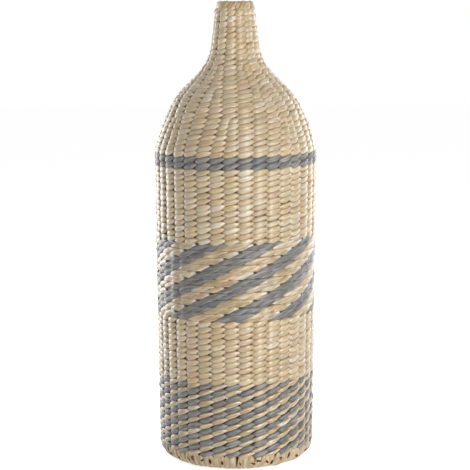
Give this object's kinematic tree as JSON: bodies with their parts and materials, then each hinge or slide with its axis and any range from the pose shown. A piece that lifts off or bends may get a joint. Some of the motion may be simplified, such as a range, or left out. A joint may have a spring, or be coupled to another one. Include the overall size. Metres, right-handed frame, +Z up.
{
  "type": "woven fibre vase",
  "caption": "Tall bottle-shaped floor vase twined from natural fibre over cane stakes, with a narrow neck, a grey ring and two grey diagonal striped bands.",
  "frame": {"origin": "centre of the flat underside of the base mat, on the vase's axis", "axes": "+Z up the vase's axis to the mouth; -Y faces the viewer of the picture; +X to the right"},
  "size_m": [0.2809, 0.2811, 0.8],
  "materials": {
    "natural_fibre": "dry flattened plant fibre, matt with a slight sheen along the strand",
    "striped_fibre": "natural and grey dyed plant fibre in diagonal stripes, matt",
    "grey_fibre": "grey dyed plant fibre, matt",
    "cane": "plain cane, dull"
  },
  "bodies": {
    "root": {"base_mat": "natural_fibre", "foot_border": "natural_fibre", "lower_band": "striped_fibre", "lower_plain": "natural_fibre", "middle_band": "striped_fibre", "upper_plain": "natural_fibre", "grey_band": "grey_fibre", "shoulder_lower": "natural_fibre", "shoulder_middle": "natural_fibre", "shoulder_upper": "natural_fibre", "neck": "natural_fibre", "rim_border": "natural_fibre", "stake_01": "cane", "stake_02": "cane", "stake_03": "cane", "stake_04": "cane", "stake_05": "cane", "stake_06": "cane", "stake_07": "cane", "stake_08": "cane", "stake_09": "cane", "stake_10": "cane", "stake_11": "cane", "stake_12": "cane", "stake_13": "cane", "stake_14": "cane", "stake_15": "cane", "stake_16": "cane", "stake_17": "cane", "stake_18": "cane", "stake_19": "cane", "stake_20": "cane", "stake_21": "cane", "stake_22": "cane", "stake_23": "cane", "stake_24": "cane", "stake_25": "cane", "stake_26": "cane", "stake_27": "cane", "stake_28": "cane", "stake_29": "cane", "stake_30": "cane", "stake_31": "cane", "stake_32": "cane", "stake_33": "cane", "stake_34": "cane", "stake_35": "cane"}
  },
  "joints": []
}
